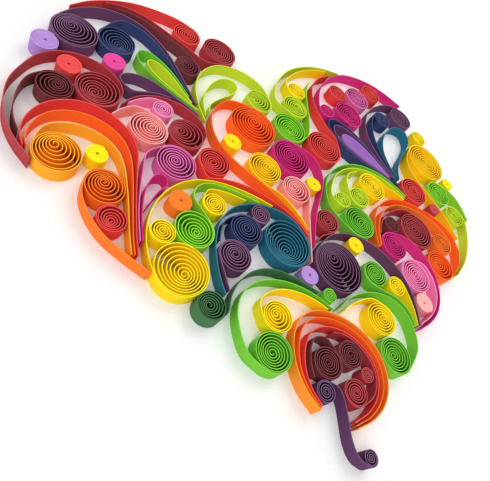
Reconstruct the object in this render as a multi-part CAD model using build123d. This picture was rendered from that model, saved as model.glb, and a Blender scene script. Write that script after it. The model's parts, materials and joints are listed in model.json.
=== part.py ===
"""Quilled paper heart: coloured paper strips, rolled and curved, glued on edge to a white card.

Each strip is one solid that stands on the card. A comma is one strip: a loose roll with a long
tail. A coil is a loose roll with no tail, an arch is a strip with no roll, and a peg is a strip
rolled tight. The heart is drawn lying at a slant and is turned upright on the card. Its places and
radii are in pattern units from its own zero point, and south is the side where its stem is.
"""
from build123d import *
import math
import os

# Card and paper
CARD_SIDE = 305.0
CARD_THICKNESS = 2.0
STRIP_WIDTH = 5.0
PAPER_THICKNESS = 0.5

# The pattern: the size of its unit, its middle, and the turn in degrees that stands the heart upright
PATTERN_UNIT = 1.0
PATTERN_MIDDLE = (5.0, 31.0)
PATTERN_TURN = -45.0

# A loose roll is drawn as straight sides: a few at least, and more round a large roll
SIDES_PER_TURN = 8
SIDES_AT_LEAST = 5
SIDES_PER_UNIT_OF_RADIUS = 1.2
EYE_RADIUS = 1.3
# The air between a roll's outside turn and the next one in
TURN_GAP = 0.35

# A tight roll is a plain many-sided peg
PEG_SIDES = 10

CW = -1
CCW = 1

nodes = {}


def add(node, solid):
    """Put one strip's solid into its node."""
    nodes.setdefault(node, []).append(solid)


def unit(x, y):
    length = math.hypot(x, y)
    return x / length, y / length


def placed(points):
    """Points of the pattern, in millimetres."""
    return [(x * PATTERN_UNIT, y * PATTERN_UNIT) for x, y in points]


def stand_up(outline):
    """Turn an outline upright on the card and raise it to the strips' full width."""
    middle_x, middle_y = placed([PATTERN_MIDDLE])[0]
    turn = math.radians(PATTERN_TURN)
    corners = []
    for x, y in outline:
        x, y = x - middle_x, y - middle_y
        corners.append(Vector(x * math.cos(turn) - y * math.sin(turn),
                              x * math.sin(turn) + y * math.cos(turn), CARD_THICKNESS))
    face = make_face(Polyline(*corners, close=True))
    return extrude(face, amount=STRIP_WIDTH, dir=(0, 0, 1))


def side_points(path, distance):
    """The path moved sideways, with mitred corners."""
    moved = []
    last = len(path) - 1
    for i, (x, y) in enumerate(path):
        before, after = path[max(i - 1, 0)], path[min(i + 1, last)]
        into = unit(x - before[0], y - before[1]) if i > 0 else None
        out = unit(after[0] - x, after[1] - y) if i < last else None
        into, out = into or out, out or into
        nx, ny = unit(-into[1] - out[1], into[0] + out[0])
        reach = distance / (ny * into[0] - nx * into[1])
        moved.append((x + nx * reach, y + ny * reach))
    return moved


def strip(node, path):
    """A strip of paper standing along a path in millimetres."""
    half = PAPER_THICKNESS / 2
    outline = side_points(path, half) + side_points(path, -half)[::-1]
    add(node, stand_up(outline))


def roll(middle, radius, turn, start, eye):
    """The path of a loose roll: one turn round its outside, then a curl that tightens to its eye."""
    sides = round(SIDES_AT_LEAST + SIDES_PER_UNIT_OF_RADIUS * radius / PATTERN_UNIT)
    outer = radius - PAPER_THICKNESS / 2
    lap = PAPER_THICKNESS + TURN_GAP
    path = []
    for k in range(sides + 1):
        inward = max(0, k - SIDES_PER_TURN) / max(1, sides - SIDES_PER_TURN)
        wide = outer - lap * min(1, k / SIDES_PER_TURN)
        angle = start + turn * 2 * math.pi * k / SIDES_PER_TURN
        r = wide + (EYE_RADIUS - wide) * inward
        x = middle[0] + inward * (eye[0] - middle[0]) + r * math.cos(angle)
        y = middle[1] + inward * (eye[1] - middle[1]) + r * math.sin(angle)
        path.append((x, y))
    return path


def meeting_angle(middle, radius, turn, point):
    """Where a straight tail from a point runs onto a roll without a kink."""
    away_x, away_y = point[0] - middle[0], point[1] - middle[1]
    return math.atan2(away_y, away_x) + turn * math.acos(radius / math.hypot(away_x, away_y))


def arch(node, points):
    """A strip with no roll, open or bent back into a drop."""
    strip(node, placed(points))


def coil(node, middle, radius, eye=None, turn=CCW, start=0):
    """A loose roll with no tail."""
    middle, eye = placed([middle, eye or middle])
    strip(node, roll(middle, radius * PATTERN_UNIT, turn, math.radians(start), eye))


def end_roll(near, middle, radius, turn, eye=None):
    """The roll that a strip runs into from a point of the pattern."""
    near, middle, eye = placed([near, middle, eye or middle])
    radius *= PATTERN_UNIT
    return roll(middle, radius, turn, meeting_angle(middle, radius, turn, near), eye)


def comma(node, tail, middle, radius, turn, eye=None):
    """One strip: a tail, given from its free end, that runs into a loose roll."""
    strip(node, placed(tail) + end_roll(tail[-1], middle, radius, turn, eye))


def scroll(node, first, stem, last):
    """One strip with a roll at each end, each given as middle, radius and turn."""
    strip(node, end_roll(stem[0], *first)[::-1] + placed(stem) + end_roll(stem[-1], *last))


def peg(node, middle, radius):
    """A strip rolled tight, with no gap to be seen."""
    outline = []
    for k in range(PEG_SIDES):
        angle = 2 * math.pi * k / PEG_SIDES
        outline.append((middle[0] + radius * math.cos(angle), middle[1] + radius * math.sin(angle)))
    add(node, stand_up(placed(outline)))


def card():
    """The white card that everything is glued to."""
    board = Box(CARD_SIDE, CARD_SIDE, CARD_THICKNESS, align=(Align.CENTER, Align.CENTER, Align.MIN))
    add("card", board)


def west_commas():
    """Five long commas that fan out from one point, and the pegs beside them."""
    comma("comma_plum_west",
          [(-46.8, 30.8), (-54, 34), (-61, 37.2), (-68, 39.9), (-75.5, 41.2), (-83, 40.8), (-89, 38.3),
           (-93.8, 33.8), (-97, 27.5), (-98.3, 20)],
          (-90, 13.8), 8, CCW, eye=(-92.5, 14.3))
    comma("comma_red_west",
          [(-100, 21), (-99.5, 30), (-97.3, 38.5), (-93.3, 47), (-87.5, 54), (-81, 59.5)],
          (-73.2, 56.9), 5.7, CW)
    comma("comma_maroon_west",
          [(-97.3, 35.5), (-93.3, 41.5), (-86.5, 46.2), (-78, 48.8), (-69, 50.9), (-60, 53.1)],
          (-61, 64.5), 7.2, CCW, eye=(-60.6, 63.4))
    comma("commas_brown_west", [(-94, 37), (-90, 41.2), (-84, 44.5), (-76.5, 46.4), (-68, 48.6)],
          (-61.3, 43.2), 5.1, CW, eye=(-62.6, 43))
    comma("comma_navy_west",
          [(-52.5, 32.4), (-57, 34), (-62, 35.9), (-69, 38.4), (-76, 39.8), (-83, 38.6), (-88, 35)],
          (-81.1, 25.1), 6.8, CCW, eye=(-79, 23.7))
    peg("peg_hot_pink", (-74, 16.7), 4)
    peg("pegs_lavender", (-90, 1.1), 4.5)


def southwest_commas():
    """The crimson outline that curls round its own roll, with a brown comma inside it."""
    comma("comma_crimson",
          [(-57, -34), (-64, -32.9), (-71, -30.2), (-77, -25.6), (-81.5, -20), (-84.3, -13),
           (-85.9, -5.5), (-84.8, 1.5), (-80.5, 7.8), (-74.5, 11.3), (-68.2, 11.7), (-63.2, 9.5)],
          (-67.2, 2.1), 7.5, CW, eye=(-66.7, -0.2))
    comma("commas_brown_west", [(-66, -30.2), (-70, -28.2), (-73.5, -25.3), (-77.5, -20.3), (-80.2, -14.5)],
          (-74.3, -9.4), 5.8, CW, eye=(-73.9, -8.6))
    peg("peg_coral", (-79.1, 1), 4.1)


def red_paisley():
    """Three nested arches that meet at a point, and the rolls inside them."""
    arch("arch_red_west",
          [(-61.3, -32.6), (-64.6, -30.7), (-68.3, -26), (-70.1, -19.5), (-69.3, -13), (-66, -7),
           (-61, -3.1), (-54.5, -1.2), (-48, -2), (-42.5, -5.3), (-37.5, -11), (-32.3, -17),
           (-26.5, -23.3), (-21.6, -28.3), (-17.9, -31.6)])
    arch("arches_vermilion",
          [(-60.9, -31.8), (-63.2, -30.2), (-66, -25.5), (-67, -19), (-65, -13), (-60.5, -8.3),
           (-54.5, -5.8), (-48, -5.9), (-42, -9), (-36.5, -14), (-31, -19.8), (-26.5, -24.6),
           (-22.3, -28.9), (-18.5, -32.3)])
    comma("comma_amber",
          [(-19.2, -33), (-23.2, -29.5), (-27.4, -25.4), (-31.8, -21), (-36, -17.2), (-41.5, -12.8),
           (-47.5, -10.3), (-53.5, -10.8), (-59, -13.8), (-62.6, -18.5), (-63.6, -23.5)],
          (-55, -26.2), 7.1, CCW, eye=(-57.4, -24.8))
    peg("coils_yellow", (-48.6, -16.7), 3.5)
    comma("commas_orange", [(-12, -32.8), (-20, -34.2), (-28, -34.8), (-35, -33.4), (-41, -30.3)],
          (-39.2, -23.1), 6.2, CW, eye=(-40.4, -22.3))
    coil("coils_red_small", (-30.4, -29.2), 4.6, eye=(-30, -30.2), start=120)


def pink_paisley():
    """Commas in pinks and dark red, an orchid comma and a magenta loop."""
    comma("comma_salmon", [(-57.8, -1.2), (-57.7, 4), (-56, 9)], (-47.7, 5.6), 6.7, CW, eye=(-47.4, 6.9))
    comma("commas_pink", [(-58.7, 7.4), (-58.1, 12), (-56.4, 16.6)], (-51, 16.8), 3.8, CW)
    comma("comma_dark_red_west",
          [(-59.3, 4.8), (-59.5, 9.5), (-58.7, 14), (-56.2, 18.9), (-52.5, 22.8), (-47.4, 25.6),
           (-41.2, 26.2), (-35.7, 23.3)],
          (-39.4, 16.3), 6.5, CW, eye=(-41.6, 15.2))
    comma("commas_orchid",
          [(-20.6, -28), (-26.9, -21.8), (-32.3, -15.3), (-37.6, -8), (-41.2, -2.2)],
          (-33.2, 3.4), 7, CW, eye=(-34, 3.6))
    arch("drop_magenta",
          [(-20, -27.4), (-25.6, -21.8), (-30.4, -15.6), (-33, -10.5), (-33.6, -6.5), (-31.5, -4.1),
           (-29.1, -6), (-28.9, -10.5), (-27.6, -16.8)])
    comma("comma_red_centre",
          [(14.4, 22.9), (10, 24.1), (4, 24.1), (-2, 23.1), (-9, 20.7), (-15, 17.2), (-20.5, 12),
           (-23, 9)],
          (-26, 16.2), 6, CW, eye=(-26.3, 15.4))


def leaves():
    """Flattened loops that point at the fan's centre."""
    arch("leaf_plum",
          [(-43, 27.5), (-51, 25.9), (-58.3, 24.1), (-63.5, 22.1), (-66.8, 19.4), (-68.6, 16),
           (-68.2, 13.2), (-65, 12.2), (-61.8, 13.1), (-59.6, 16.3), (-56.6, 20.8), (-53.3, 23.7)])
    arch("drop_green",
          [(-45, 28.4), (-57, 26), (-64.5, 25.2), (-70, 25.7), (-73.3, 27.5), (-74.4, 30), (-72.8, 32.6),
           (-68, 34), (-61, 33.7), (-54, 31.9), (-50.5, 30.8)])
    arch("drops_lime",
          [(-44.5, 29.3), (-52, 28), (-60, 26.9), (-66, 27.2), (-69.2, 28.6), (-69.4, 30.8),
           (-66.2, 32.5), (-59.5, 32.2), (-52, 30.3), (-48, 29.6)])
    comma("comma_lime_west",
          [(-39.8, 27.9), (-46, 31.6), (-51.6, 36.5), (-55.3, 42.5), (-57, 49.5), (-56, 57), (-52, 63),
           (-46, 67), (-39, 67.8)],
          (-34.8, 59.5), 5.8, CW, eye=(-35.9, 58.7))
    arch("drops_lime",
          [(-41.7, 30.5), (-46.4, 35), (-49.4, 40.7), (-50.8, 47), (-50.2, 52.5), (-47.2, 56.3),
           (-44, 54.9), (-43, 50), (-43.9, 43), (-43.9, 36.5), (-41.9, 33.2)])


def north_ring():
    """The tall lime, yellow, green and red commas up the left of the far half."""
    comma("commas_lime_outer",
          [(-24.5, 121.5), (-31, 114), (-36, 104.5), (-38.8, 94), (-38.6, 84), (-36, 75),
           (-31.5, 68.8)],
          (-24.3, 74.7), 5.9, CCW, eye=(-23.8, 75.4))
    comma("commas_yellow_north",
          [(-28.8, 114.3), (-32.4, 108.5), (-35.4, 100.5), (-36.6, 91), (-35.5, 83.5)],
          (-29.5, 84.3), 4.6, CCW)
    comma("commas_green_north", [(-29.7, 98), (-27.5, 91), (-22.3, 83), (-16.5, 75.5), (-12, 67.5)],
          (-19, 61.4), 7.5, CW, eye=(-18.3, 60.2))
    comma("comma_red_north",
          [(-26.5, 114), (-28.4, 104.5), (-26.9, 96), (-22.5, 89.2), (-16.5, 84.5), (-9.5, 81.3),
           (-3, 79.2)],
          (-3.8, 68.8), 8.2, CW, eye=(-3.5, 70))


def middle_commas():
    """The orange, gold, blush and magenta commas in the middle."""
    comma("comma_orange_centre",
          [(13.6, 24.1), (8, 25.4), (0, 26.1), (-8, 25.8), (-16, 24.5), (-24.5, 23.9), (-31, 25),
           (-36.6, 28.3), (-40.7, 33.5), (-42.3, 40), (-41, 47)],
          (-28.2, 45.4), 9.7, CW, eye=(-29.2, 47.6))
    peg("pegs_gold", (-28, 30.2), 3.6)
    comma("comma_gold_centre", [(13.2, 25.4), (8.6, 27.1), (3, 28.4), (-3, 28.4), (-8, 26.6)],
          (-13.3, 32.8), 6.8, CW, eye=(-13.2, 34))
    comma("comma_blush", [(21.1, 14.8), (17.2, 20.7), (12.8, 27.3), (8.9, 33.5)],
          (0.3, 36.6), 6, CCW, eye=(-0.8, 36.6))
    peg("pegs_gold", (3.6, 46.2), 3.3)
    comma("commas_magenta",
          [(18.6, 21.4), (15.5, 27.2), (11.8, 34.5), (9.2, 42), (6.7, 49), (2.5, 55), (-3.5, 58.4)],
          (-9.7, 48.1), 8.5, CCW, eye=(-10.6, 49))


def yellow_ring():
    """The big yellow comma at the near edge and what it goes round."""
    comma("comma_yellow_south",
          [(-1.6, 20.8), (-7, 18.6), (-14.5, 14.4), (-20.9, 9.2), (-25.3, 3), (-27.4, -4),
           (-27.3, -11.5), (-25.2, -18.5), (-21, -24.9), (-16.3, -29.3)],
          (-7, -24.8), 8.8, CCW, eye=(-5.3, -25.6))
    coil("coils_yellow", (-18.8, -19.9), 4.2, start=200)
    peg("commas_orange", (-22.7, -6.8), 4)
    comma("comma_green_ring",
          [(-5.6, 17.2), (-11, 14.6), (-17, 11), (-21.4, 7), (-22.9, 2.5), (-21.1, -1.7),
           (-16.5, -3.2)],
          (-13.2, -11), 6.7, CW, eye=(-12.1, -11.7))
    comma("commas_yellow_small", [(-9.2, 13.4), (-15.5, 9.6), (-19.8, 5)],
          (-15, 2.2), 4.3, CCW)


def teal_ring():
    """The teal comma, and the navy, plum and dark green ones round it."""
    comma("comma_teal",
          [(7, -20.2), (2.3, -17.1), (-3.5, -11.7), (-7.9, -5.5), (-10.2, 1), (-10.1, 7.5), (-7.5, 13.5),
           (-3.1, 18.5), (2.5, 21.9), (8, 23)],
          (10.8, 13.2), 9.1, CW, eye=(12.2, 9.6))
    comma("comma_navy_centre", [(-5.5, -7.1), (-7.4, -3.8), (-8.9, 0.7)],
          (-2.1, 4), 6, CW, eye=(-2.4, 4.6))
    comma("commas_plum_centre", [(7, -18.2), (3.9, -15.9), (-0.2, -13), (-3.6, -10.3)],
          (1.2, -7), 5.7, CW, eye=(0.7, -6.6))
    coil("commas_plum_centre", (-2.4, 13.7), 3.8, start=250)
    comma("comma_dark_green",
          [(29, 6.9), (24.5, 5.6), (20, 4.1), (14.6, 1.4), (10.4, -2.8), (8, -8), (7.5, -13.5),
           (8.5, -19), (10.9, -24)],
          (6.2, -26.5), 4.8, CW, eye=(5.7, -27))


def south_leaf():
    """The green comma at the near edge with a yellow one inside it."""
    comma("comma_green_south",
          [(36, 6.1), (29.5, 5.2), (23.5, 3.1), (17.8, -0.4), (13.4, -5), (10.8, -10.3), (10.5, -15.8),
           (12.6, -21.2), (17, -25.8), (22.5, -29)],
          (28.2, -22.7), 6.4, CCW, eye=(28, -23.5))
    comma("commas_yellow_small",
          [(34.5, 4.3), (29.5, 3.3), (24, 0.8), (19.3, -2.9), (16.4, -7.8), (16, -12.8)],
          (22.9, -12.3), 5.3, CCW, eye=(22, -12.3))
    coil("commas_green_east", (32.7, 9.6), 2.7, start=90)


def brown_ring():
    """Three nested arches round brown and dark red rolls, and the plum scroll that leaves them."""
    arch("arch_amber_south",
          [(48.7, -25.7), (42, -24.1), (36, -20.6), (31.4, -15.2), (29.1, -9), (29.5, -3.3), (32.6, 1.6),
           (37.8, 5.3), (44, 7.6), (50.3, 8.1), (56.5, 6.6), (61.7, 2.8), (65, -2.7), (65.8, -8.8),
           (64.3, -15.2), (61.2, -21)])
    arch("arches_vermilion",
          [(48.6, -24.9), (42.5, -23.2), (36.9, -19.5), (32.8, -13.7), (31.1, -8.3), (32, -3.3),
           (35.6, 1.1), (41, 4.3), (47.2, 5.8), (53.2, 5.3), (58.7, 2.7), (62.8, -2.2), (64.2, -8.4),
           (63.3, -14.6), (60.4, -20.6)])
    arch("arch_red_south",
          [(48.4, -24.1), (43, -22.2), (38.1, -18.2), (34.9, -12.6), (34.2, -7.3), (36, -2.9),
           (39.8, 0.6), (45, 2.9), (51, 3.3), (56.7, 1.4), (60.8, -2.7), (62.6, -8.2), (62.1, -14.2),
           (59.5, -20.3)])
    comma("commas_brown", [(42.2, -19), (38.7, -15.4), (36.4, -11.2), (36.2, -7.4), (39.2, -5)],
          (43.6, -11.4), 5.3, CW)
    coil("commas_brown", (48.5, -2.7), 4.7, start=100)
    coil("commas_dark_red", (56.5, -3.9), 2.6, start=60)
    comma("commas_dark_red",
          [(40, -1.1), (43, 1.2), (47, 2.4), (51.5, 2.3), (56.2, 0.7), (59.8, -2.8), (61.3, -8)],
          (55.7, -12.1), 4.5, CW)
    scroll("scroll_plum", ((47.4, -19.7), 3.5, CCW),
           [(50.3, -15.3), (53.6, -17.3), (57.2, -21.2), (61, -25.5), (65, -27.9)],
           ((68.3, -25.2), 2.6, CCW))


def east_leaf():
    """The green comma at the right with a yellow one inside it."""
    comma("commas_green_east",
          [(37.8, 9.5), (38.9, 15.5), (41.6, 21.7), (46.2, 27.2), (52.3, 30.6), (58.8, 30.5),
           (64.2, 27.2), (68.4, 21.5)],
          (62.4, 11.3), 6.6, CW, eye=(61.6, 10.3))
    comma("commas_yellow_east", [(39.5, 9.8), (40.6, 14), (42.6, 18.8), (45.7, 23.2)],
          (52, 19.2), 6.2, CW, eye=(52.6, 20))


def purple_group():
    """The large purple comma, and the small rolls in its bow."""
    comma("comma_purple",
          [(66, 31.2), (61.8, 36.7), (56.8, 41.4), (50.5, 44.7), (43.5, 45.9), (36.5, 45.2), (30, 42.6),
           (24.5, 38.2), (20.7, 32)],
          (29.7, 22.8), 10.1, CCW, eye=(26, 24.1))
    peg("pegs_lavender", (23.3, 9.6), 3.5)
    peg("pegs_gold", (30.2, 37.7), 3.5)
    comma("commas_green_east", [(64.2, 29.4), (59.5, 32.2), (53.8, 32.8), (48.3, 30.7)],
          (42, 34), 5.3, CW)
    comma("commas_yellow_east", [(65.2, 30.2), (61.5, 34.7), (57.4, 38.2)],
          (51.4, 37.5), 4, CCW)
    comma("commas_dark_red", [(18.2, 24), (18.3, 28), (19.3, 30.6)], (16.5, 36.2), 5.1, CCW)


def green_group():
    """The tall green and lime commas in the middle of the far half."""
    comma("comma_green_tall",
          [(36, 85.8), (28.5, 85.4), (21, 83.4), (14.2, 79.3), (9.2, 73.6), (6.2, 67), (5.2, 60),
           (6.3, 53.3), (9.4, 47.7), (14, 43.7)],
          (26.3, 49.3), 7.1, CCW, eye=(27.3, 49.6))
    comma("commas_lime_tall",
          [(36, 84.3), (29, 84), (22, 82), (15.8, 78.2), (11.1, 73.2), (8.3, 67.2), (7.5, 60.8),
           (8.7, 54.6), (11.3, 49.6)],
          (15.8, 52.2), 3.7, CCW)
    comma("commas_lime_tall", [(12.9, 72.6), (11, 68.5), (11.4, 64.5)], (20.3, 60.9), 4.8, CCW)
    comma("commas_yellow_north", [(36.2, 82.9), (31.5, 82.2), (27, 80.5)], (21.8, 73), 6.7, CCW)


def far_blossom():
    """The magenta comma at the far left with the rolls that it holds."""
    comma("comma_magenta_north",
          [(8, 143), (-1, 141), (-9.5, 137.4), (-17, 131.3), (-22.5, 124), (-25, 115.5), (-25.3, 106.5),
           (-23.4, 98), (-19.7, 90.8)],
          (-14.5, 90.3), 3.8, CCW)
    coil("coils_red_north", (-17.5, 108.3), 4.8, start=150)
    coil("commas_orchid", (-9.7, 117.6), 6.6, start=210)
    coil("coils_red_north", (-6.8, 130.3), 5.6, start=30)
    coil("comma_magenta_north", (-6.8, 101.2), 7.3, start=300, eye=(-6, 100.6))


def far_fan():
    """The plum, navy and teal commas and loops that meet in the middle of the far half."""
    comma("commas_plum_north",
          [(27.6, 89.8), (20, 92), (12, 95.4), (5.4, 100.5), (0.9, 107.8), (-1.3, 117), (-0.2, 126.5),
           (3.3, 134.5)],
          (12.3, 134), 6.5, CW)
    comma("commas_navy_north", [(25, 91.9), (18.8, 94.8), (12, 99.7), (6.9, 105.3), (3.1, 112)],
          (6, 120), 4.7, CW)
    arch("drop_teal",
          [(27.4, 92), (21.8, 94.9), (16, 100), (12.4, 107.5), (11.5, 115.5), (13, 123), (17.6, 126.8),
           (22.2, 123), (24, 114.5), (24.6, 105.5), (26.3, 97.5), (29.4, 92)])
    arch("commas_navy_north",
          [(28.5, 86.4), (21, 84.3), (13, 81.6), (4, 79.9), (-4, 80.3), (-9, 82.8), (-10.7, 86.3),
           (-8.5, 90), (-2, 92.4), (7, 92.6), (18, 91), (30.5, 88.3)])
    arch("commas_plum_north",
          [(26.5, 86.6), (20, 84.8), (13, 82.5), (6, 81.1), (0, 80.9), (-5.2, 82.5), (-7.4, 85.9),
           (-4.9, 89.4), (3, 91.3), (12, 91), (26, 88.3)])
    lavender_drop()


def lavender_drop():
    """A strip wound tight into a drop, with no gap to be seen."""
    outline = [(26, 87.3), (20, 85.5), (12.5, 83), (6, 81.8), (1.2, 81.6), (-1.7, 83.2), (-2.4, 85.7),
               (-0.6, 88.2), (3, 89.6), (9, 90), (16, 89.3), (22, 88.2)]
    add("pegs_lavender", stand_up(placed(outline[::-1])))


def far_rolls():
    """The gold, yellow, red and green rolls along the far right."""
    comma("comma_gold_far",
          [(66, 91), (61, 94.2), (55.5, 97.5), (49.5, 99.4), (43.5, 100.9), (37.5, 102.1), (31.5, 104.7),
           (26.8, 110)],
          (35.3, 120.2), 10.6, CW, eye=(35.8, 119.6))
    coil("coils_yellow", (25.5, 132.7), 4.3, start=0)
    peg("coils_yellow", (49.8, 120), 3.2)
    coil("coils_red_north", (37.8, 93.6), 7.1, start=180)
    peg("commas_dark_red", (50.2, 94.8), 3)
    comma("commas_green_north", [(66.8, 108.2), (61.2, 113), (55, 115.6)], (48.2, 107.5), 6.5, CCW)
    comma("commas_lime_outer",
          [(72.6, 71.5), (73.3, 81), (72.2, 90), (69.3, 99.3), (65, 106.5)],
          (60, 103.1), 5.3, CCW)


def far_orange_group():
    """The two orange outline commas and the dark rolls that they hold."""
    comma("comma_vermilion_far",
          [(38, 47), (33.2, 53), (29.8, 60), (28.9, 67.5), (31, 75), (36.5, 81.8), (44.5, 86.7),
           (53.5, 89.8), (62, 89.4), (68, 85), (71, 78)],
          (63.8, 67.2), 6.9, CW, eye=(62.5, 66.3))
    comma("commas_orange",
          [(38.4, 48.8), (34.6, 54.5), (32.1, 61), (31.8, 68), (34.2, 75), (39.8, 80.8), (47, 84.8),
           (55, 86.6), (62.3, 85)],
          (60.5, 79.4), 5, CW)
    comma("commas_dark_red",
          [(35.6, 54.4), (33.8, 58.8), (33.2, 63.6), (33.9, 68.6), (35.9, 73.4), (39, 77.6)],
          (47.7, 72.6), 8.5, CW, eye=(46.8, 72.2))
    coil("commas_brown", (37.6, 63.5), 3.8, start=90)


def pink_group():
    """The magenta and pink commas down the right edge."""
    comma("commas_magenta",
          [(67.2, 30.6), (69.4, 36.5), (70.4, 43.5), (68.9, 51), (64.5, 57.8), (58, 62.5), (50.5, 64.4),
           (43.8, 62.8)],
          (42.8, 54.5), 6.1, CCW, eye=(42.5, 55.3))
    comma("commas_pink", [(66.2, 32.2), (68.1, 37.3), (68.9, 44), (67.3, 50.8), (63, 56.5), (57.2, 59)],
          (56.2, 50.5), 7.2, CCW)
    peg("comma_blush", (64, 42), 4.1)


def write_nodes():
    os.makedirs("parts", exist_ok=True)
    for name, solids in nodes.items():
        shape = solids[0] if len(solids) == 1 else Compound(children=solids)
        shape.label = name
        export_step(shape, f"parts/{name}.step")


def build():
    card()
    west_commas()
    southwest_commas()
    red_paisley()
    pink_paisley()
    leaves()
    north_ring()
    middle_commas()
    yellow_ring()
    teal_ring()
    south_leaf()
    brown_ring()
    east_leaf()
    purple_group()
    green_group()
    far_blossom()
    far_fan()
    far_rolls()
    far_orange_group()
    pink_group()


if __name__ == "__main__":
    build()
    write_nodes()
    print(len(nodes), "nodes,", sum(len(solids) for solids in nodes.values()), "solids")
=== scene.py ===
"""Looks for the quilled paper art.

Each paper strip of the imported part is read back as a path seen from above. It is then wound again
as fine, smooth paper with all the windings that its solid only hints at.
"""

import json
import math
import random

import bpy
import numpy as np
from mathutils import Matrix, Vector


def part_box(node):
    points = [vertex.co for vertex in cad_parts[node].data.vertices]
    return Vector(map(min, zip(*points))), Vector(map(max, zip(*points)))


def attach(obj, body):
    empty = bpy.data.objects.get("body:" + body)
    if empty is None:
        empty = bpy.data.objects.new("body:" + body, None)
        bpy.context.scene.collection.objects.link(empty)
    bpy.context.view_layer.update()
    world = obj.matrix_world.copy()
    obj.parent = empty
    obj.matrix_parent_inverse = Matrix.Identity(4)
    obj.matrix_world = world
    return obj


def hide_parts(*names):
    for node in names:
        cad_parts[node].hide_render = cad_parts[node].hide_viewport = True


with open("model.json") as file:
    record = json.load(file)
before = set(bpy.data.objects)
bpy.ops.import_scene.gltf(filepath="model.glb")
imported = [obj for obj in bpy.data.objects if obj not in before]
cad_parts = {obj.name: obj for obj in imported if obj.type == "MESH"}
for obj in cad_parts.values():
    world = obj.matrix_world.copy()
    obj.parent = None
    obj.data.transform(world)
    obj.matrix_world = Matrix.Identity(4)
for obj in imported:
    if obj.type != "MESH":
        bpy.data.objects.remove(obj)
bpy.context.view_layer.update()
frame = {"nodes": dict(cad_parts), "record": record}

MM = 0.001
FULL_TURN = 2 * math.pi

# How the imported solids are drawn, in millimetres
SOLID_PAPER = 0.5
SOLID_SIDES_PER_TURN = 8
SOLID_LAP = 0.85
SOLID_EYE_RADIUS = 1.3
LEAST_ROLL_SIDES = 8
MOST_ROLL_SIDES = 18

# How far a solid may be off the form that it is read as: a top face, the end of a strip, the
# corners and the scale of a loose roll, and the roundness of a tight one
TOP_ERROR = 0.01
END_ERROR = 0.02
ROLL_ERROR = 0.03
SCALE_ERROR = 0.05
ROUND_ERROR = 0.1

# The fine paper, in millimetres
PAPER = 0.31
EDGE_ROUND = 0.05
CURVE_ERROR = 0.012
TAIL_STEP = 0.9
DROP_STEP = 0.5
LEAST_KNOT_GAP = 1e-6
SHARP_ANGLE = 34

# Tight rolls and the tight drop, in millimetres
TIGHT_PITCH = 0.36
TIGHT_EYE = 0.65

# Loose rolls, in millimetres. A roll under WIDE_ROLL in radius has a smaller eye, and slack is
# the share by which the outermost gap is wider, and the innermost narrower, than an even one.
LOOSE_EYE = 0.85
EYE_SPREAD = (0.9, 1.35)
WIDE_ROLL = 5.0
OUTSIDE_GAP = 0.05
LEAST_GAP = 0.06
SLACK = (0.0, 0.3)

# How many turns a loose roll has, more with its radius
TURNS = 1.8
TURNS_PER_MM = 0.74
TURNS_SPREAD = (0.93, 1.07)
LEAST_TURNS = 1.6

# The hook at the inner end of a loose roll, walked in steps of its way in and of its turn
HOOK_RADIUS = 0.25
HOOK_STEP = 0.11
HOOK_TURN = 0.42

# Places in a roll's windings that the tail before it is bent towards
GUIDES = [4, 8]

# Unevenness: waves in the windings of a roll, and in the height of a strip in millimetres
WINDING_WAVES = (1, 2, 3)
WINDING_SHARE = (0.3, 1)
WINDING_DAMPING = 7
ANY_PHASE = (0, 6.28)
HEIGHT_SPREAD = (-0.08, 0.02)
RISE_WAVES = 2
RISE_SIZE = (0.02, 0.06)
RISE_RATE = (0.04, 0.12)

# Papers whose tone in the photograph's light is not quite the record's
TONES = {
    "paper_plum": (103, 58, 96),
    "paper_red": (214, 58, 52),
    "paper_maroon": (165, 50, 58),
    "paper_brown": (114, 49, 55),
    "paper_navy": (46, 58, 104),
    "paper_hot_pink": (206, 64, 140),
    "paper_lavender": (162, 125, 190),
    "paper_coral": (218, 70, 70),
    "paper_vermilion": (252, 101, 24),
    "paper_orange": (242, 115, 29),
    "paper_yellow": (255, 220, 0),
    "paper_gold": (255, 204, 0),
    "paper_salmon": (252, 148, 145),
    "paper_pink": (246, 132, 180),
    "paper_orchid": (204, 97, 157),
    "paper_green": (109, 184, 51),
    "paper_light_green": (131, 203, 44),
    "paper_lime": (185, 214, 40),
    "paper_dark_green": (60, 106, 65),
    "paper_teal": (29, 103, 126),
}
DEEP_LAVENDER = (132, 88, 160)

# Nodes whose strips are given a tone of their own instead of their paper's
OWN_TONES = {
    "arch_amber_south": (248, 136, 34),
    "scroll_plum": (84, 44, 86),
    "comma_purple": (92, 50, 84),
}

# Walls and cut edges against the paper's tone, and how far both vary about that. The cut edges on
# top are lighter than the walls: partly the paper's paler cut edge, partly a painted highlight.
WALL_GAIN = 1.25
PALE_EDGE_AND_HIGHLIGHT_GAIN = 1.5
DARK_PALE_EDGE_AND_HIGHLIGHT_GAIN = 1.35
DARK_PAPERS = ("paper_brown", "paper_dark_green")
UNEVENNESS = (0.9, 1.1)

# How much white is added to the cut edges of the papers that pale most: partly their paler cut
# edge, partly a painted highlight on top
PALE_EDGE_AND_HIGHLIGHT_LIFTS = {
    "paper_plum": 0.06,
    "paper_red": 0.03,
    "paper_maroon": 0.03,
    "paper_brown": 0.005,
    "paper_navy": 0.03,
    "paper_lavender": 0.02,
    "paper_salmon": 0.1,
    "paper_pink": 0.04,
    "paper_orchid": 0.04,
    "paper_teal": 0.02,
}

# Painted shade: how much of red, green and blue the walls keep, which paints the walls of these
# papers warmer than their edges
NO_PAINTED_WALL_SHADE = (1, 1, 1)
PAINTED_WALL_SHADES = {
    "paper_yellow": (1, 0.82, 1),
    "paper_gold": (1, 0.8, 1),
    "paper_light_green": (1.1, 0.87, 1),
    "paper_lime": (1, 0.87, 1),
}

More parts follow.
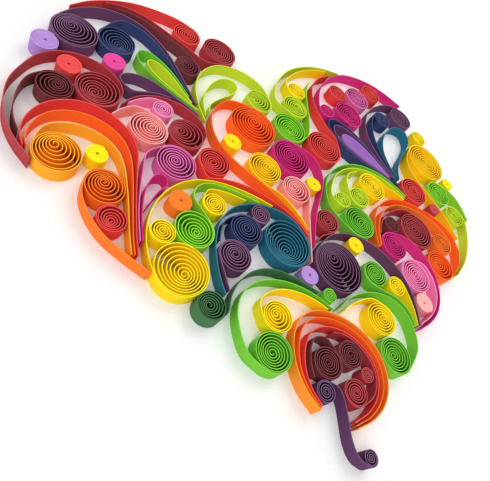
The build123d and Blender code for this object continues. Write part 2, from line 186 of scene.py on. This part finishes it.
# Painted shade between windings: there the paper's tone is taken to a power, which darkens it as
# shade would. That comes on at a rate per lap along the inner wall, and on the outer wall from
# nearly a lap in.
PAINTED_SHADE_POWER = 1.3
PAINTED_SHADE_RATE = 4
PAINTED_SHADE_START = 0.8

CARD_TONE = (0.99, 0.99, 0.988)
CARD_GAIN = 1.08

# The floor, in metres, just under the card's underside
FLOOR_REACH = 3.0
FLOOR_LOW = -0.00005
FLOOR_TONE = (0.98, 0.98, 0.98, 1)

# The world's strength as light, and as the camera sees it
WORLD_LIGHT = 0.7
WORLD_SEEN = 1.0

# Round lamps aimed at the card's middle: name, place and size in metres, and power in watts
LAMPS = (
    ("overhead", (0.3, 0.6, 1.0), 0.6, 0.4),
    ("front", (-1.2, -1.2, 1.8), 1.6, 17.5),
    ("back", (1.3, 1.1, 1.8), 1.6, 14.5),
)

# The photograph's camera, solved from the ellipses of the rolls, in millimetres
CAMERA_PLACE = (-101.7, -94.6, 122.2)
CAMERA_RIGHT = (0.8658, -0.1394, 0.4806)
CAMERA_BACK = (-0.4832, -0.4832, 0.7302)
FOCAL_LENGTH = 36.73
SENSOR_WIDTH = 36
CLIP_START = 0.001

# Sockets of a Mix node that mixes colours
MIX_A = 6
MIX_B = 7
MIX_RESULT = 2

CARD_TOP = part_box("card")[1].z / MM
STRIP_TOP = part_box("comma_teal")[1].z / MM


def on_circle(radius, angle):
    """The place on a circle about the origin at an angle."""
    return radius * np.array([math.cos(angle), math.sin(angle)])


def top_outlines(mesh):
    """The outlines of a node's top faces, in millimetres, one closed loop for each solid."""
    places, corners, index = {}, [], []
    for vertex in mesh.vertices:
        place = tuple(round(c / MM, 3) for c in vertex.co)
        if place not in places:
            places[place] = len(corners)
            corners.append(place)
        index.append(places[place])
    top = max(corner[2] for corner in corners)
    sides = set()
    for face in mesh.polygons:
        ring = [index[i] for i in face.vertices]
        if all(corners[i][2] > top - TOP_ERROR for i in ring):
            sides.update(zip(ring, ring[1:] + ring[:1]))
    border = {a: b for a, b in sides if (b, a) not in sides}
    outlines = []
    for first in sorted(border):
        loop = []
        corner = first
        while corner in border:
            loop.append(corners[corner][:2])
            corner = border.pop(corner)
        if loop:
            outlines.append(np.array(loop))
    return outlines


def ribbon_path(outline):
    """The middle line of a standing strip, or None for one that is wound tight."""
    count = len(outline) // 2
    if len(outline) % 2:
        return None
    sides = np.linalg.norm(outline - np.roll(outline, -1, 0), axis=1)
    for k in range(count):
        if all(abs(sides[i] - SOLID_PAPER) < END_ERROR for i in (k, k + count)):
            loop = np.roll(outline, -(k + 1), 0)
            return (loop[:count] + loop[count:][::-1]) / 2
    return None


def fit_roll(path):
    """The loose roll that a path ends in, or None: its sides, middle, eye, first point and turn.

    A solid's roll has one wide lap and then closes evenly on its eye. Its corners are linear in
    all that is wanted but the number of sides and the turn, so a least-squares fit finds that.
    """
    for sides in range(min(len(path) - 1, MOST_ROLL_SIDES), LEAST_ROLL_SIDES - 1, -1):
        points = path[-sides - 1:]
        k = np.arange(sides + 1)
        inward = np.maximum(0, k - SOLID_SIDES_PER_TURN) / max(1, sides - SOLID_SIDES_PER_TURN)
        out = 1 - inward
        lap = np.minimum(1, k / SOLID_SIDES_PER_TURN)
        known = inward * SOLID_EYE_RADIUS - out * SOLID_LAP * lap
        for turn in (1, -1):
            angle = turn * FULL_TURN * k / SOLID_SIDES_PER_TURN
            c, s = np.cos(angle), np.sin(angle)
            one, nil = np.ones(sides + 1), np.zeros(sides + 1)
            in_x = [one, nil, inward, nil, out * c, -out * s, known * c, -known * s]
            in_y = [nil, one, nil, inward, out * s, out * c, known * s, known * c]
            rows = np.concatenate([np.array(in_x).T, np.array(in_y).T])
            wanted = np.concatenate([points[:, 0], points[:, 1]])
            found = np.linalg.lstsq(rows, wanted, rcond=None)[0]
            error = np.abs(rows @ found - wanted).max()
            if error < ROLL_ERROR and abs(np.hypot(found[6], found[7]) - 1) < SCALE_ERROR:
                return {"sides": sides, "turn": turn, "middle": found[:2],
                        "eye": found[:2] + found[2:4], "first": found[4:6]}
    return None


def wind(roll, dice):
    """The fine windings of a loose roll, from its outside in, and how many laps in each is."""
    outer = float(np.hypot(*roll["first"])) + (SOLID_PAPER - PAPER) / 2
    start = math.atan2(roll["first"][1], roll["first"][0])
    shift = roll["eye"] - roll["middle"]
    inner = outer - PAPER - OUTSIDE_GAP
    slack = dice.uniform(*SLACK)
    eye = LOOSE_EYE * dice.uniform(*EYE_SPREAD) * min(1, outer / WIDE_ROLL)
    room = (inner - eye - float(np.hypot(*shift))) * (1 - slack)
    turns = (TURNS + TURNS_PER_MM * outer) * dice.uniform(*TURNS_SPREAD)
    turns = max(LEAST_TURNS, min(turns, 1 + room / (PAPER + LEAST_GAP)))
    spare = room / (turns - 1) - PAPER - LEAST_GAP
    waves = [(k, dice.uniform(*WINDING_SHARE) * spare / (WINDING_DAMPING * k),
              dice.uniform(*ANY_PHASE)) for k in WINDING_WAVES]

    points, depths, laps = [], [], 0.0
    while laps < turns:
        inward = max(0, laps - 1) / (turns - 1)
        opening = inward * (1 + slack * (1 - inward))
        if laps < 1:
            r = outer + (inner - outer) * laps
        else:
            r = inner + (eye - inner) * opening
        r += sum(size * math.sin(FULL_TURN * k * inward * turns / 2 + at)
                 * 4 * inward * (1 - inward) for k, size, at in waves)
        at = roll["middle"] + shift * opening
        points.append(at + on_circle(r, start + roll["turn"] * FULL_TURN * laps))
        depths.append(laps)
        laps += math.sqrt(8 * CURVE_ERROR / r) / FULL_TURN
    angle = start + roll["turn"] * FULL_TURN * turns
    bend = 0.0
    while bend < 1:
        points.append(roll["eye"] + on_circle(eye + (HOOK_RADIUS - eye) * bend, angle))
        depths.append(turns)
        angle += roll["turn"] * HOOK_TURN
        bend += HOOK_STEP
    return np.array(points), np.array(depths)


def smooth(points, step):
    """A Catmull-Rom curve through all points, evenly walked."""
    before = 2 * points[0] - points[1]
    after = 2 * points[-1] - points[-2]
    knots = np.vstack([before, points, after])
    result = []
    for i in range(1, len(knots) - 2):
        a, b, c, d = knots[i - 1:i + 3]
        count = max(2, round(float(np.linalg.norm(c - b)) / step))
        gaps = [max(float(np.linalg.norm(q - p)) ** 0.5, LEAST_KNOT_GAP)
                for p, q in ((a, b), (b, c), (c, d))]
        t0, t1, t2, t3 = 0, gaps[0], gaps[0] + gaps[1], sum(gaps)
        for k in range(count):
            t = t1 + (t2 - t1) * k / count
            ab = (t1 - t) / (t1 - t0) * a + (t - t0) / (t1 - t0) * b
            bc = (t2 - t) / (t2 - t1) * b + (t - t1) / (t2 - t1) * c
            cd = (t3 - t) / (t3 - t2) * c + (t - t2) / (t3 - t2) * d
            abc = (t2 - t) / (t2 - t0) * ab + (t - t0) / (t2 - t0) * bc
            bcd = (t3 - t) / (t3 - t1) * bc + (t - t1) / (t3 - t1) * cd
            result.append((t2 - t) / (t2 - t1) * abc + (t - t1) / (t2 - t1) * bcd)
    result.append(points[-1])
    return np.array(result)


def wound_end(path, dice):
    """The loose roll that a path ends in, with its fine windings, or None."""
    roll = fit_roll(path)
    if roll:
        roll["points"], roll["depths"] = wind(roll, dice)
    return roll


def fine_path(path, dice):
    """The smooth path of a strip, with its windings, and how many laps in each place on it is."""
    last = wound_end(path, dice)
    first = wound_end(path[::-1], dice)
    for roll in (last, first):
        if roll and roll["sides"] == len(path) - 1:
            return roll["points"], roll["depths"]

    tail = path
    if last:
        tail = np.vstack([tail[:-last["sides"] - 1], last["points"][:1]])
    if first:
        tail = np.vstack([first["points"][:1], tail[first["sides"] + 1:]])
    if last:
        tail = np.vstack([tail, last["points"][GUIDES]])
    if first:
        tail = np.vstack([first["points"][GUIDES[::-1]], tail])
    tail = smooth(tail, TAIL_STEP)
    if last:
        tail = tail[:np.linalg.norm(tail - last["points"][0], axis=1).argmin()]
    if first:
        tail = tail[np.linalg.norm(tail - first["points"][0], axis=1).argmin() + 1:]

    depths = np.zeros(len(tail))
    if last:
        tail = np.vstack([tail, last["points"]])
        depths = np.concatenate([depths, last["depths"]])
    if first:
        tail = np.vstack([first["points"][::-1], tail])
        depths = np.concatenate([first["depths"][::-1], depths])
    return tail, depths


def tight_path(outline, dice):
    """A strip wound tight inside a round outline, from its outside in to a pinhole."""
    middle = outline.mean(0)
    radius = float(np.linalg.norm(outline - middle, axis=1).mean())
    turns = (radius - TIGHT_EYE) / TIGHT_PITCH
    start = dice.uniform(0, FULL_TURN)
    points, t = [], 0.0
    while t <= 1:
        r = radius - PAPER / 2 + (TIGHT_EYE - radius) * t
        points.append(middle + on_circle(r, start + FULL_TURN * turns * t))
        t += math.sqrt(8 * CURVE_ERROR / r) / (FULL_TURN * turns)
    return np.array(points)


def drop_path(outline):
    """A strip wound tight inside a long drop, each winding one pitch inside the last."""
    rounded = smooth(np.vstack([outline, outline[:1]]), DROP_STEP)[:-1]
    middle = (rounded.min(0) + rounded.max(0)) / 2
    axes = np.linalg.svd(rounded - rounded.mean(0))[2]
    across = (rounded - middle) @ axes.T
    half = np.abs(across).max(0)
    lap = len(rounded)
    last = int(lap * (half[1] - PAPER) / TIGHT_PITCH)
    inward = (PAPER / 2 + TIGHT_PITCH * np.arange(last) / lap)[:, None]
    return middle + (across[np.arange(last) % lap] * (1 - inward / half)) @ axes


def stand(path, depths, dice):
    """Paper that stands along a path: its corners, each one's mask of painted shade between
    windings, and its faces.
    """
    step = np.gradient(path, axis=0)
    step /= np.linalg.norm(step, axis=1)[:, None]
    side = np.stack([-step[:, 1], step[:, 0]], 1)
    half = PAPER / 2
    top = STRIP_TOP - CARD_TOP + dice.uniform(*HEIGHT_SPREAD)
    section = [(-half, 0), (half, 0), (half, top - EDGE_ROUND), (half - EDGE_ROUND, top),
               (EDGE_ROUND - half, top), (-half, top - EDGE_ROUND)]
    waves = [(dice.uniform(*RISE_SIZE), dice.uniform(*RISE_RATE), dice.uniform(*ANY_PHASE))
             for _ in range(RISE_WAVES)]
    run = np.concatenate([[0], np.cumsum(np.linalg.norm(np.diff(path, axis=0), axis=1))])
    rise = sum(size * np.sin(run * rate + at) for size, rate, at in waves)
    bend = np.gradient(step, axis=0)
    curl = step[:, 0] * bend[:, 1] - step[:, 1] * bend[:, 0]

    corners, inside, faces = [], [], []
    # The inside values mask the painted shade between windings: on the inner wall it comes on soon,
    # on the outer wall from nearly a lap in
    for place, normal, up, depth, leftward in zip(path, side, rise, depths, curl > 0):
        for across, height in section:
            if (across > 0) == leftward:
                inside.append(min(1, PAINTED_SHADE_RATE * depth))
            else:
                inside.append(min(1, max(0, PAINTED_SHADE_RATE * (depth - PAINTED_SHADE_START))))
            x, y = place + normal * across
            z = CARD_TOP + height + (up if height else 0)
            corners.append((x * MM, y * MM, z * MM))
    n = len(section)
    for i in range(len(path) - 1):
        for j in range(n):
            a, b = i * n + j, i * n + (j + 1) % n
            faces.append((a, b, b + n, a + n))
    faces.append(tuple(range(n))[::-1])
    faces.append(tuple(range(len(corners) - n, len(corners))))
    return corners, inside, faces


def add_mesh(name, strips, papers):
    """One object from standing strips, smooth along the paper and sharp at its edges."""
    corners, inside, faces, tones = [], [], [], []
    for (strip_corners, strip_inside, strip_faces), tone in strips:
        base = len(corners)
        corners += strip_corners
        inside += strip_inside
        faces += [tuple(i + base for i in face) for face in strip_faces]
        tones += [tone] * len(strip_faces)
    mesh = bpy.data.meshes.new(name)
    mesh.from_pydata(corners, [], faces)
    for paper in papers:
        mesh.materials.append(paper)
    mesh.polygons.foreach_set("material_index", tones)
    mesh.polygons.foreach_set("use_smooth", [True] * len(mesh.polygons))
    # The inside attribute carries the mask of painted shade between windings
    mesh.attributes.new("inside", "FLOAT", "POINT").data.foreach_set("value", inside)
    mesh.update()
    mesh.set_sharp_from_angle(angle=math.radians(SHARP_ANGLE))
    piece = bpy.data.objects.new(name, mesh)
    bpy.context.scene.collection.objects.link(piece)
    return piece


def linear(colour):
    """The linear value of each part of a colour that is written as for a screen, 0 to 1."""
    return [c / 12.92 if c <= 0.04045 else ((c + 0.055) / 1.055) ** 2.4 for c in colour[:3]]


def unit(tone):
    """A tone of 0 to 255, as 0 to 1."""
    return [c / 255 for c in tone]


def varied(shades, lift=0.0):
    """The darkest and the lightest colour of an uneven paper."""
    return [[min(1, c * factor + lift) for c in shades] + [1] for factor in UNEVENNESS]


def paper_material(name, colour, wall_gain=WALL_GAIN, pale_edge_and_highlight_gain=PALE_EDGE_AND_HIGHLIGHT_GAIN, pale_edge_and_highlight_lift=0.0,
                   painted_wall_shade=NO_PAINTED_WALL_SHADE):
    """Matt coloured paper with fibres, slight unevenness, a paler cut edge on top with a painted
    highlight, painted shade between windings and, where asked, walls painted warmer as shade.
    """
    material = bpy.data.materials.new(name)
    material.use_nodes = True
    tree = material.node_tree
    node, link = tree.nodes.new, tree.links.new
    place = node("ShaderNodeTexCoord")

    def noise(scale, detail, roughness):
        texture = node("ShaderNodeTexNoise")
        texture.inputs["Scale"].default_value = scale
        texture.inputs["Detail"].default_value = detail
        texture.inputs["Roughness"].default_value = roughness
        link(place.outputs["Object"], texture.inputs["Vector"])
        return texture.outputs["Fac"]

    def remap(value, low, high, to_low, to_high):
        change = node("ShaderNodeMapRange")
        change.inputs["From Min"].default_value = low
        change.inputs["From Max"].default_value = high
        change.inputs["To Min"].default_value = to_low
        change.inputs["To Max"].default_value = to_high
        link(value, change.inputs["Value"])
        return change.outputs["Result"]

    def mix(factor, a, b):
        """Two colours mixed, each either a list or another node's output."""
        blend = node("ShaderNodeMix")
        blend.data_type = "RGBA"
        link(factor, blend.inputs["Factor"])
        for socket, colour_in in ((MIX_A, a), (MIX_B, b)):
            if isinstance(colour_in, list):
                blend.inputs[socket].default_value = colour_in
            else:
                link(colour_in, blend.inputs[socket])
        return blend.outputs[MIX_RESULT]

    uneven = noise(scale=130, detail=3, roughness=0.5)
    fibres = noise(scale=2600, detail=6, roughness=0.7)

    base = linear(colour)
    # Painted shade: some papers' walls keep less of a channel, so they read warmer, as in shade
    walls = mix(uneven, *varied([c * wall_gain * part for c, part in zip(base, painted_wall_shade)]))
    # Painted shade between windings: where the inside mask is on, the walls take a darker tone
    wound = node("ShaderNodeAttribute")
    wound.attribute_name = "inside"
    deep = mix(wound.outputs["Fac"], walls, [c ** PAINTED_SHADE_POWER for c in base] + [1])
    # The cut edges' tone: the paper's paler cut edge together with a painted highlight on top
    edges = mix(fibres, *varied([c * pale_edge_and_highlight_gain for c in base], pale_edge_and_highlight_lift))

    # Paler cut edge and painted highlight: faces that look up take the lighter edge tone
    facing = node("ShaderNodeNewGeometry")
    split = node("ShaderNodeSeparateXYZ")
    link(facing.outputs["True Normal"], split.inputs["Vector"])
    upward = remap(split.outputs["Z"], low=0.3, high=0.9, to_low=0, to_high=1)
    speck = node("ShaderNodeVectorMath")
    speck.operation = "SCALE"
    link(mix(upward, deep, edges), speck.inputs["Vector"])
    link(remap(fibres, low=0.3, high=0.7, to_low=0.94, to_high=1.04), speck.inputs["Scale"])

    bump = node("ShaderNodeBump")
    bump.inputs["Strength"].default_value = 0.25
    bump.inputs["Distance"].default_value = 0.00004
    link(fibres, bump.inputs["Height"])

    shader = tree.nodes["Principled BSDF"]
    shader.inputs["Roughness"].default_value = 0.72
    shader.inputs["Specular IOR Level"].default_value = 0.3
    link(speck.outputs["Vector"], shader.inputs["Base Color"])
    link(bump.outputs["Normal"], shader.inputs["Normal"])
    return material


def paper_materials():
    """The material of each slot in the record."""
    papers = {}
    for entry in frame["record"]["materials"]:
        slot = entry["slot"]
        colour = unit(TONES[slot]) if slot in TONES else entry["base_color"]
        pale_edge_and_highlight_gain = DARK_PALE_EDGE_AND_HIGHLIGHT_GAIN if slot in DARK_PAPERS else PALE_EDGE_AND_HIGHLIGHT_GAIN
        papers[slot] = paper_material(slot, colour, pale_edge_and_highlight_gain=pale_edge_and_highlight_gain,
                                      pale_edge_and_highlight_lift=PALE_EDGE_AND_HIGHLIGHT_LIFTS.get(slot, 0.0),
                                      painted_wall_shade=PAINTED_WALL_SHADES.get(slot, NO_PAINTED_WALL_SHADE))
    return papers


def wind_strips():
    """Every strip wound as fine paper, one piece for each node, in place of its solids."""
    slots = {s["node"]: s["material_slot"] for s in frame["record"]["subparts"]}
    papers = paper_materials()
    deep_lavender = paper_material("paper_deep_lavender", unit(DEEP_LAVENDER))
    for node_name in sorted(frame["nodes"]):
        if node_name == "card":
            continue
        dice = random.Random(node_name)
        strips = []
        for outline in top_outlines(frame["nodes"][node_name].data):
            path = ribbon_path(outline)
            tone = 0
            if path is not None:
                fine, depths = fine_path(path, dice)
            elif np.ptp(np.linalg.norm(outline - outline.mean(0), axis=1)) < ROUND_ERROR:
                fine = tight_path(outline, dice)
                depths = np.zeros(len(fine))
            else:
                fine = drop_path(outline)
                depths = np.zeros(len(fine))
                tone = 1
            strips.append((stand(fine, depths, dice), tone))
        paper = papers[slots[node_name]]
        if node_name in OWN_TONES:
            paper = paper_material(node_name + "_tone", unit(OWN_TONES[node_name]),
                                   pale_edge_and_highlight_lift=PALE_EDGE_AND_HIGHLIGHT_LIFTS.get(slots[node_name], 0.0))
        deep_tones = [deep_lavender] if any(tone for _, tone in strips) else []
        piece = add_mesh("paper_" + node_name, strips, [paper] + deep_tones)
        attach(piece, "root")
        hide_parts(node_name)


def dress_card():
    """White board, with the same fibres as the paper."""
    card = frame["nodes"]["card"]
    card.data.materials.clear()
    card.data.materials.append(paper_material("card_paper", CARD_TONE, CARD_GAIN, CARD_GAIN))


def make_floor():
    """A plain floor, nearly white, that keeps the part's shadow."""
    mesh = bpy.data.meshes.new("floor")
    mesh.from_pydata([(-FLOOR_REACH, -FLOOR_REACH, FLOOR_LOW),
                      (FLOOR_REACH, -FLOOR_REACH, FLOOR_LOW),
                      (FLOOR_REACH, FLOOR_REACH, FLOOR_LOW),
                      (-FLOOR_REACH, FLOOR_REACH, FLOOR_LOW)], [], [(0, 1, 2, 3)])
    floor = bpy.data.objects.new("floor", mesh)
    bpy.context.scene.collection.objects.link(floor)
    material = bpy.data.materials.new("floor_white")
    material.use_nodes = True
    shader = material.node_tree.nodes["Principled BSDF"]
    shader.inputs["Base Color"].default_value = FLOOR_TONE
    shader.inputs["Roughness"].default_value = 0.9
    mesh.materials.append(material)


def make_lights():
    """A soft white world, pure white to the camera, and soft lamps."""
    world = bpy.data.worlds.new("studio")
    bpy.context.scene.world = world
    world.use_nodes = True
    node, link = world.node_tree.nodes.new, world.node_tree.links.new
    background = world.node_tree.nodes["Background"]
    background.inputs["Color"].default_value = (1, 1, 1, 1)
    seen = node("ShaderNodeLightPath")
    strength = node("ShaderNodeMapRange")
    strength.inputs["To Min"].default_value = WORLD_LIGHT
    strength.inputs["To Max"].default_value = WORLD_SEEN
    link(seen.outputs["Is Camera Ray"], strength.inputs["Value"])
    link(strength.outputs["Result"], background.inputs["Strength"])
    for name, place, size, power in LAMPS:
        lamp = bpy.data.lights.new(name, "AREA")
        lamp.shape = "DISK"
        lamp.size = size
        lamp.energy = power
        rig = bpy.data.objects.new(name, lamp)
        rig.location = place
        rig.rotation_euler = (-Vector(place)).to_track_quat("-Z", "Y").to_euler()
        bpy.context.scene.collection.objects.link(rig)


def make_camera():
    """The photograph's view: from low on the card's left, tilted and rolled."""
    data = bpy.data.cameras.new("camera")
    data.sensor_width = SENSOR_WIDTH
    data.lens = FOCAL_LENGTH
    data.clip_start = CLIP_START
    camera = bpy.data.objects.new("camera", data)
    right = Vector(CAMERA_RIGHT).normalized()
    back = Vector(CAMERA_BACK).normalized()
    up = back.cross(right).normalized()
    right = up.cross(back)
    turn = Matrix((right, up, back)).transposed()
    camera.matrix_world = Matrix.Translation(Vector(CAMERA_PLACE) * MM) @ turn.to_4x4()
    bpy.context.scene.collection.objects.link(camera)
    bpy.context.scene.camera = camera


wind_strips()
dress_card()
make_floor()
make_lights()
make_camera()
bpy.context.scene.view_settings.view_transform = "Standard"
